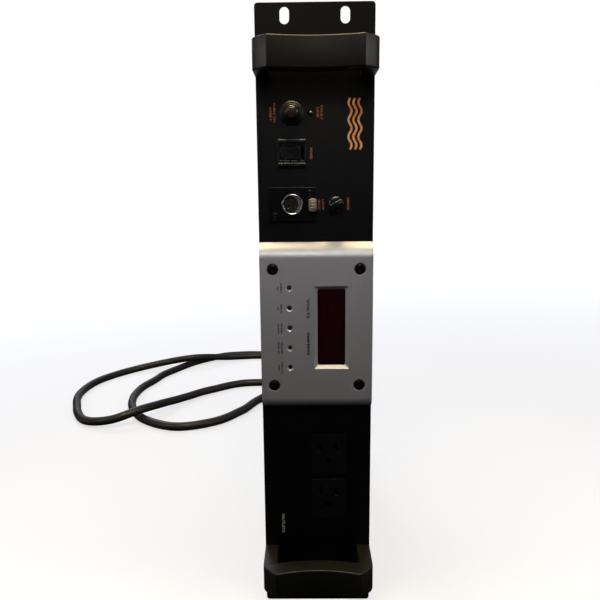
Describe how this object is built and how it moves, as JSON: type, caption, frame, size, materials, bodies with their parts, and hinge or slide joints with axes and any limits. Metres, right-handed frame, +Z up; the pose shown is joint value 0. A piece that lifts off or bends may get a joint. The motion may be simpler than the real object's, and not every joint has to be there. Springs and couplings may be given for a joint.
{
  "type": "rack power distribution unit",
  "caption": "Two-unit rack power unit on its end, with a raised meter bezel, breaker, rocker switch, lamp socket, dimmer, outlets, two handles and a looped mains lead.",
  "frame": {"origin": "on the surface the unit stands on, under the middle of the unit's width and of its depth from handles to ground post, cord left out", "axes": "+Z up along the 482.6 mm front panel, -Y out of the front panel, +X to the right of someone who faces it, which is the side that is uppermost in a rack"},
  "size_m": [0.4719, 0.8167, 0.4827],
  "materials": {
    "panel_black": "satin",
    "handle_black": "satin",
    "bezel_silver": "satin",
    "screw_black": "satin",
    "screw_steel": "satin",
    "ring_chrome": "polished",
    "latch_nickel": "satin",
    "post_brass": "satin",
    "nylon_black": "matte",
    "button_brown": "gloss",
    "window_red": "gloss",
    "lamp_lens": "gloss",
    "board_green": "satin",
    "digit_red": "gloss",
    "ferrite": "matte",
    "film_blue": "gloss",
    "core_steel": "satin",
    "cord_rubber": "matte"
  },
  "bodies": {
    "chassis": {"front_panel": "panel_black", "lamp_socket_flange": "panel_black", "chassis_tray": "panel_black", "top_cover": "panel_black", "rear_panel": "panel_black", "lower_handle": "handle_black", "upper_handle": "handle_black", "handle_screw_1": "screw_steel", "handle_screw_2": "screw_steel", "handle_screw_3": "screw_steel", "handle_screw_4": "screw_steel", "centre_bezel": "bezel_silver", "bezel_screw_1": "screw_black", "bezel_screw_2": "screw_black", "bezel_screw_3": "screw_black", "bezel_screw_4": "screw_black", "lamp_socket_screw_1": "screw_black", "lamp_socket_screw_2": "screw_black", "meter_window": "window_red", "meter_board": "board_green", "filter_board": "board_green", "volt_digits": "digit_red", "amp_digits": "digit_red", "indicator_lamp_1": "lamp_lens", "indicator_lamp_2": "lamp_lens", "indicator_lamp_3": "lamp_lens", "indicator_lamp_4": "lamp_lens", "indicator_lamp_5": "lamp_lens", "alarm_lamp": "lamp_lens", "breaker_collar": "nylon_black", "breaker_body": "nylon_black", "switch_frame": "nylon_black", "lamp_socket_insert": "nylon_black", "front_outlet_1": "nylon_black", "front_outlet_2": "nylon_black", "rear_outlet_1": "nylon_black", "rear_outlet_2": "nylon_black", "rear_outlet_3": "nylon_black", "rear_outlet_4": "nylon_black", "rear_outlet_5": "nylon_black", "rear_outlet_6": "nylon_black", "rear_outlet_7": "nylon_black", "rear_outlet_8": "nylon_black", "strain_relief": "nylon_black", "delay_relay": "nylon_black", "lamp_socket_ring": "ring_chrome", "dimmer_control": "core_steel", "meter_transformer": "core_steel", "ground_post": "post_brass", "filter_choke_1": "ferrite", "filter_choke_2": "ferrite", "filter_capacitor_1": "film_blue", "filter_capacitor_2": "film_blue", "power_cord": "cord_rubber", "cord_plug": "cord_rubber"},
    "breaker_button": {"breaker_button": "button_brown"},
    "power_rocker": {"switch_rocker": "nylon_black"},
    "socket_latch": {"lamp_socket_latch": "latch_nickel"},
    "dimmer_knob": {"dimmer_knob": "nylon_black"}
  },
  "joints": [
    {"name": "breaker_push", "type": "slide", "parent": "chassis", "child": "breaker_button", "axis": [0, 1, 0], "range_m": [0, 0.003], "stiffness_N_per_m": 300, "springref_m": -0.001},
    {"name": "power_switch", "type": "hinge", "parent": "chassis", "child": "power_rocker", "pos_m": [-0.0179, -0.091, 0.3762], "axis": [0, 0, 1], "range_deg": [0, 16]},
    {"name": "latch_push", "type": "slide", "parent": "chassis", "child": "socket_latch", "axis": [0, 1, 0], "range_m": [0, 0.0013], "stiffness_N_per_m": 500, "springref_m": -0.0008},
    {"name": "dimmer_turn", "type": "hinge", "parent": "chassis", "child": "dimmer_knob", "pos_m": [0.0154, -0.095, 0.338], "axis": [0, 1, 0], "range_deg": [-115, 165]}
  ]
}
